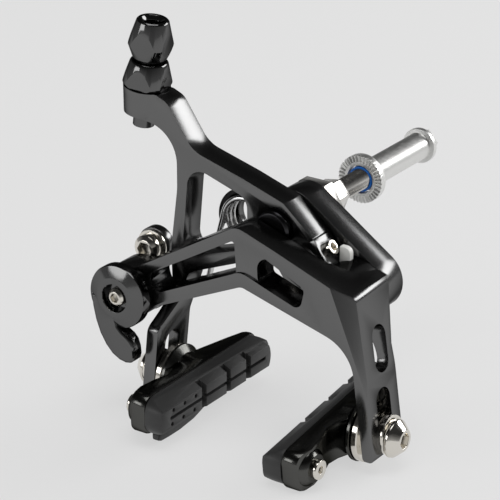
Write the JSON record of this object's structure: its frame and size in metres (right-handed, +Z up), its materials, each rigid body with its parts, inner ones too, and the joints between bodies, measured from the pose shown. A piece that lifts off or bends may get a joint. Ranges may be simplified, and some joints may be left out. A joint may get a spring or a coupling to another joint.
{
  "type": "dual pivot rim brake caliper",
  "caption": "Front rim brake caliper with two pivoted arms, a quick release lever, a cable adjuster and brake pads on slotted legs.",
  "frame": {"origin": "on the centre bolt's axis, in the end face of the lock nut, where the washer and the fork begin", "axes": "+X to the right seen from the front, +Y back along the centre bolt towards the fork, +Z up"},
  "size_m": [0.0955, 0.1114, 0.1079],
  "materials": {
    "black_anodised": "satin",
    "bright_steel": "polished",
    "black_steel": "gloss",
    "bush_bronze": "plain",
    "white_acetal": "smooth",
    "black_nylon": "smooth",
    "blue_nylon": "smooth",
    "pad_rubber": "matt"
  },
  "bodies": {
    "bridge_unit": {"bridge": "black_anodised", "centre_bolt": "bright_steel", "pivot_cap": "black_steel", "centre_thrust_washer": "bright_steel", "side_pivot_bolt": "bright_steel", "side_thrust_washer": "bright_steel", "centring_flats": "bright_steel", "lock_nut": "bright_steel", "spring_holder": "black_nylon", "return_spring": "bright_steel"},
    "upper_arm_unit": {"upper_arm": "black_anodised", "upper_arm_bush": "bush_bronze", "spring_peg": "bright_steel"},
    "lower_arm_unit": {"lower_arm": "black_anodised", "lower_arm_bush": "bush_bronze", "link_seat": "white_acetal"},
    "link_screw_unit": {"centring_screw": "bright_steel"},
    "adjuster_unit": {"cable_adjuster": "black_anodised"},
    "lock_ring_unit": {"adjuster_lock_ring": "black_anodised"},
    "release_unit": {"release_lever": "black_anodised", "release_screw": "bright_steel", "release_shaft": "bright_steel"},
    "carrier_unit": {"cable_carrier": "black_anodised"},
    "cable_bolt_unit": {"cable_anchor_bolt": "bright_steel", "cable_clamp_washer": "bright_steel"},
    "nut_ring_unit": {"nut_locking_ring": "blue_nylon"},
    "fixing_nut_unit": {"sleeve_nut": "bright_steel"},
    "star_washer_unit": {"star_washer": "bright_steel"},
    "left_height_unit": {"left_inner_seat_washer": "bright_steel", "left_outer_seat_washer": "bright_steel"},
    "left_pad_unit": {"left_pad_bolt": "bright_steel", "left_inner_dome_washer": "bright_steel", "left_outer_dome_washer": "bright_steel", "left_pad_holder": "black_anodised", "left_brake_pad": "pad_rubber", "left_insert_screw": "bright_steel"},
    "right_height_unit": {"right_inner_seat_washer": "bright_steel", "right_outer_seat_washer": "bright_steel"},
    "right_pad_unit": {"right_pad_bolt": "bright_steel", "right_inner_dome_washer": "bright_steel", "right_outer_dome_washer": "bright_steel", "right_pad_holder": "black_anodised", "right_brake_pad": "pad_rubber", "right_insert_screw": "bright_steel"}
  },
  "joints": [
    {"name": "upper_arm_pivot", "type": "hinge", "parent": "bridge_unit", "child": "upper_arm_unit", "pos_m": [0, -0.0258, 0], "axis": [0, -1, 0], "range_deg": [0, 9], "stiffness_Nm_per_rad": 1, "springref_deg": -28.65, "deforming": ["return_spring"]},
    {"name": "lower_arm_pivot", "type": "hinge", "parent": "bridge_unit", "child": "lower_arm_unit", "pos_m": [0.021, -0.0318, -0.0153], "axis": [0, 1, 0], "range_deg": [0, 8.3]},
    {"name": "link_screw", "type": "hinge", "parent": "upper_arm_unit", "child": "link_screw_unit", "pos_m": [0.0159, -0.0258, -0.0032], "axis": [-0.8192, 0, -0.5736], "range_deg": [-720, 720]},
    {"name": "adjuster_turn", "type": "hinge", "parent": "upper_arm_unit", "child": "adjuster_unit", "pos_m": [-0.04235, -0.0258, 0.0496], "axis": [-0.1236, 0, -0.9923], "range_deg": [-720, 1440]},
    {"name": "lock_ring_turn", "type": "hinge", "parent": "upper_arm_unit", "child": "lock_ring_unit", "pos_m": [-0.04235, -0.0258, 0.0496], "axis": [-0.1236, 0, -0.9923], "range_deg": [-720, 720]},
    {"name": "quick_release", "type": "hinge", "parent": "lower_arm_unit", "child": "release_unit", "pos_m": [-0.041, -0.0418, -0.0243], "axis": [0, 1, 0], "range_deg": [0, 120]},
    {"name": "cable_carrier_swing", "type": "hinge", "parent": "release_unit", "child": "carrier_unit", "pos_m": [-0.041, -0.0315, -0.0261], "axis": [0, 1, 0], "range_deg": [-120, 0]},
    {"name": "cable_bolt_turn", "type": "hinge", "parent": "carrier_unit", "child": "cable_bolt_unit", "pos_m": [-0.0436, -0.0267, -0.0167], "axis": [0, 1, 0], "range_deg": [-720, 720]},
    {"name": "fixing_nut_off", "type": "slide", "parent": "bridge_unit", "child": "nut_ring_unit", "axis": [0, 1, 0], "range_m": [0, 0.06]},
    {"name": "fixing_nut_turn", "type": "hinge", "parent": "nut_ring_unit", "child": "fixing_nut_unit", "pos_m": [0, 0.0177, 0], "axis": [0, 1, 0], "continuous": true},
    {"name": "star_washer_slide", "type": "slide", "parent": "bridge_unit", "child": "star_washer_unit", "axis": [0, 1, 0], "range_m": [-0.0129, 0]},
    {"name": "left_pad_height", "type": "slide", "parent": "upper_arm_unit", "child": "left_height_unit", "axis": [0.1045, 0, 0.9945], "range_m": [0, 0.0095]},
    {"name": "left_pad_tilt", "type": "hinge", "parent": "left_height_unit", "child": "left_pad_unit", "pos_m": [-0.0322, -0.0343, -0.0492], "axis": [1, 0, 0], "range_deg": [-10, 10]},
    {"name": "right_pad_height", "type": "slide", "parent": "lower_arm_unit", "child": "right_height_unit", "axis": [-0.1392, 0, 0.9903], "range_m": [0, 0.0095]},
    {"name": "right_pad_tilt", "type": "hinge", "parent": "right_height_unit", "child": "right_pad_unit", "pos_m": [0.035, -0.0343, -0.0492], "axis": [1, 0, 0], "range_deg": [-3, 17]}
  ],
  "couplings": [
    {"joint": "lower_arm_pivot", "follows": "upper_arm_pivot", "ratio": 0.914},
    {"joint": "cable_carrier_swing", "follows": "quick_release", "ratio": -1}
  ]
}
